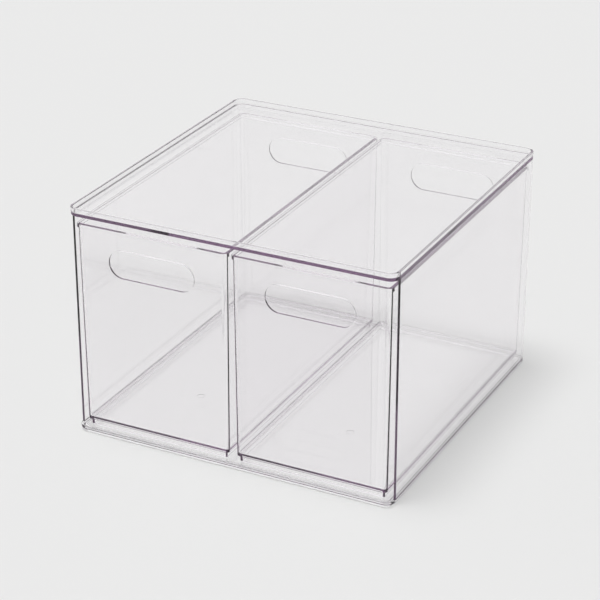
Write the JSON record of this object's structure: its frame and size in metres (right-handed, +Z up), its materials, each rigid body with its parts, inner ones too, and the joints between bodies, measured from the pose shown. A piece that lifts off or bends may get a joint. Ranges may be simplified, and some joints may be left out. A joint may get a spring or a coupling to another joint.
{
  "type": "stackable drawer box",
  "caption": "Clear open-front stacking case with a rimmed top and loose pull-out bins that have oval finger slots.",
  "frame": {"origin": "middle of the case's footprint, on the surface that the foot ring stands on", "axes": "+X to the viewer's right when facing the open front, -Y out of the open front, +Z up"},
  "size_m": [0.305, 0.305, 0.214],
  "materials": {
    "case_plastic": "polished clear with a faint violet tint",
    "bin_plastic": "polished clear with a faint violet tint"
  },
  "bodies": {
    "case": {"case_body": "case_plastic", "top_tray": "case_plastic"},
    "bin_left": {"bin_left": "bin_plastic"},
    "bin_right": {"bin_right": "bin_plastic"}
  },
  "joints": [
    {"name": "bin_left_slide", "type": "slide", "parent": "case", "child": "bin_left", "axis": [0, -1, 0], "range_m": [0, 0.305]},
    {"name": "bin_right_slide", "type": "slide", "parent": "case", "child": "bin_right", "axis": [0, -1, 0], "range_m": [0, 0.305]}
  ]
}
